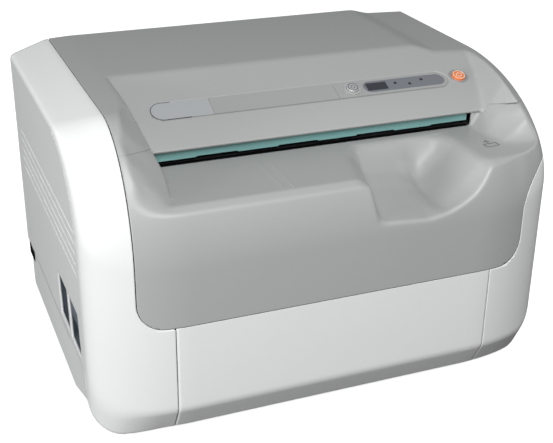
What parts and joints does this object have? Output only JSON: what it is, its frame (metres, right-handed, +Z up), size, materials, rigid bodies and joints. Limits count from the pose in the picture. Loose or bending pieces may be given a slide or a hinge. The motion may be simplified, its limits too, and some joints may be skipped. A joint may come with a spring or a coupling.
{
  "type": "phosphor plate scanner",
  "caption": "Tabletop cassette scanner with a rounded two-tone housing, sloped control strip, shuttered slot over a tray with a hand scoop, and the plate transport and optics inside.",
  "frame": {"origin": "centre of the footprint, on the table under the feet", "axes": "+Z up, +X to the right of someone facing the front, the slot and tray face -Y"},
  "size_m": [0.56, 0.418, 0.354],
  "materials": {
    "grey_cover": "fine satin moulded plastic",
    "white_cover": "fine satin moulded plastic",
    "pale_base": "matt moulded plastic",
    "panel_grey": "smooth moulded plastic",
    "nameplate_silver": "satin silver plate, bare",
    "window_blue_grey": "glossy window strip",
    "screen_dark": "dark screen, off",
    "light_dark": "small lenses, unlit",
    "key_white": "satin key cap",
    "key_orange": "gloss key cap",
    "bezel_silver": "silvered ring",
    "shutter_teal": "smooth moulded plastic",
    "black_plastic": "matt black plastic",
    "rubber_black": "matt rubber",
    "cup_rubber": "soft rubber",
    "roller_rubber": "grey rubber over a steel shaft",
    "sheet_steel": "zinc-plated sheet",
    "rear_steel": "light grey powder paint",
    "motor_dark": "black paint",
    "screw_steel": "zinc-plated screws",
    "mirror_alu": "polished facets",
    "clear_acrylic": "clear bar",
    "lamp_glass": "frosted tubes",
    "board_green": "board with chips"
  },
  "bodies": {
    "housing": {"base_tray": "pale_base", "left_side_cover": "white_cover", "right_side_cover": "white_cover", "top_cover": "grey_cover", "front_apron": "grey_cover", "lower_front_panel": "white_cover", "rear_panel": "rear_steel", "rubber_feet": "rubber_black", "rear_spacers": "black_plastic", "side_vent_liners": "black_plastic", "nameplate_blank": "nameplate_silver", "name_strip": "panel_grey", "control_panel": "panel_grey", "display_window": "window_blue_grey", "lcd_screen": "screen_dark", "indicator_lights": "light_dark", "round_button_bezel": "grey_cover", "power_button_bezel": "bezel_silver", "shutter_brackets": "black_plastic", "slot_brush": "black_plastic", "left_side_plate": "sheet_steel", "right_side_plate": "sheet_steel", "cassette_deck": "sheet_steel", "cassette_hood": "sheet_steel", "cassette_rails": "black_plastic", "roller_bushes": "black_plastic", "drive_motor": "motor_dark", "drive_belt": "rubber_black", "upper_plate_guide": "sheet_steel", "lower_plate_guide": "sheet_steel", "optics_shelf": "sheet_steel", "scan_unit_housing": "black_plastic", "light_guide": "clear_acrylic", "photomultiplier": "sheet_steel", "erase_lamp_housing": "sheet_steel", "erase_lamps": "lamp_glass", "power_supply": "sheet_steel", "control_board": "board_green", "cooling_fan_frame": "black_plastic", "power_inlet": "black_plastic", "data_socket": "black_plastic", "rear_screws": "screw_steel"},
    "shutter": {"slot_shutter": "shutter_teal"},
    "power_key": {"power_button": "key_orange"},
    "round_key": {"round_button": "key_white"},
    "mains_rocker": {"power_rocker": "black_plastic"},
    "lifting_arm": {"suction_arm": "sheet_steel", "suction_cups": "cup_rubber"},
    "feed_drive": {"feed_drive_roller": "roller_rubber", "feed_pulley": "black_plastic"},
    "feed_idler": {"feed_idler_roller": "roller_rubber"},
    "scan_upper_drive": {"scan_upper_drive_roller": "roller_rubber", "scan_upper_pulley": "black_plastic"},
    "scan_upper_idler": {"scan_upper_idler_roller": "roller_rubber"},
    "scan_lower_drive": {"scan_lower_drive_roller": "roller_rubber", "scan_lower_pulley": "black_plastic"},
    "scan_lower_idler": {"scan_lower_idler_roller": "roller_rubber"},
    "motor_rotor": {"motor_pulley": "black_plastic"},
    "scan_mirror": {"polygon_mirror": "mirror_alu"},
    "fan_rotor": {"cooling_fan_impeller": "black_plastic"}
  },
  "joints": [
    {"name": "shutter_swing", "type": "hinge", "parent": "housing", "child": "shutter", "pos_m": [0, -0.08, 0.2964], "axis": [1, 0, 0], "range_deg": [0, 75], "stiffness_Nm_per_rad": 0.01, "springref_deg": -5.73},
    {"name": "power_button_press", "type": "slide", "parent": "housing", "child": "power_key", "axis": [0, 0.3875, -0.9219], "range_m": [0, 0.0015], "stiffness_N_per_m": 800, "springref_m": -0.0005},
    {"name": "round_button_press", "type": "slide", "parent": "housing", "child": "round_key", "axis": [0, 0.3875, -0.9219], "range_m": [0, 0.0015], "stiffness_N_per_m": 800, "springref_m": -0.0005},
    {"name": "mains_rocker_tilt", "type": "hinge", "parent": "housing", "child": "mains_rocker", "pos_m": [0.18, 0.199, 0.0825], "axis": [1, 0, 0], "range_deg": [0, 14]},
    {"name": "lifting_arm_swing", "type": "hinge", "parent": "housing", "child": "lifting_arm", "pos_m": [0, 0.06, 0.316], "axis": [1, 0, 0], "range_deg": [0, 24]},
    {"name": "feed_drive_spin", "type": "hinge", "parent": "housing", "child": "feed_drive", "pos_m": [0, 0.095, 0.2757], "axis": [1, 0, 0], "continuous": true},
    {"name": "feed_idler_spin", "type": "hinge", "parent": "housing", "child": "feed_idler", "pos_m": [0, 0.095, 0.2943], "axis": [1, 0, 0], "continuous": true},
    {"name": "scan_upper_drive_spin", "type": "hinge", "parent": "housing", "child": "scan_upper_drive", "pos_m": [0, 0.1317, 0.20494], "axis": [1, 0, 0], "continuous": true},
    {"name": "scan_upper_idler_spin", "type": "hinge", "parent": "housing", "child": "scan_upper_idler", "pos_m": [0, 0.1503, 0.20494], "axis": [1, 0, 0], "continuous": true},
    {"name": "scan_lower_drive_spin", "type": "hinge", "parent": "housing", "child": "scan_lower_drive", "pos_m": [0, 0.1317, 0.1549], "axis": [1, 0, 0], "continuous": true},
    {"name": "scan_lower_idler_spin", "type": "hinge", "parent": "housing", "child": "scan_lower_idler", "pos_m": [0, 0.1503, 0.1549], "axis": [1, 0, 0], "continuous": true},
    {"name": "motor_rotor_spin", "type": "hinge", "parent": "housing", "child": "motor_rotor", "pos_m": [0, 0.041, 0.14892], "axis": [1, 0, 0], "continuous": true},
    {"name": "scan_mirror_spin", "type": "hinge", "parent": "housing", "child": "scan_mirror", "pos_m": [-0.06, 0.01, 0.17992], "axis": [0, 0, 1], "continuous": true},
    {"name": "fan_rotor_spin", "type": "hinge", "parent": "housing", "child": "fan_rotor", "pos_m": [-0.18, 0.198, 0.13], "axis": [0, 1, 0], "continuous": true}
  ],
  "couplings": [
    {"joint": "scan_upper_drive_spin", "follows": "feed_drive_spin", "ratio": 1},
    {"joint": "scan_lower_drive_spin", "follows": "feed_drive_spin", "ratio": 1},
    {"joint": "motor_rotor_spin", "follows": "feed_drive_spin", "ratio": 1.5},
    {"joint": "feed_idler_spin", "follows": "feed_drive_spin", "ratio": -1.25},
    {"joint": "scan_upper_idler_spin", "follows": "feed_drive_spin", "ratio": -1.25},
    {"joint": "scan_lower_idler_spin", "follows": "feed_drive_spin", "ratio": -1.25}
  ]
}
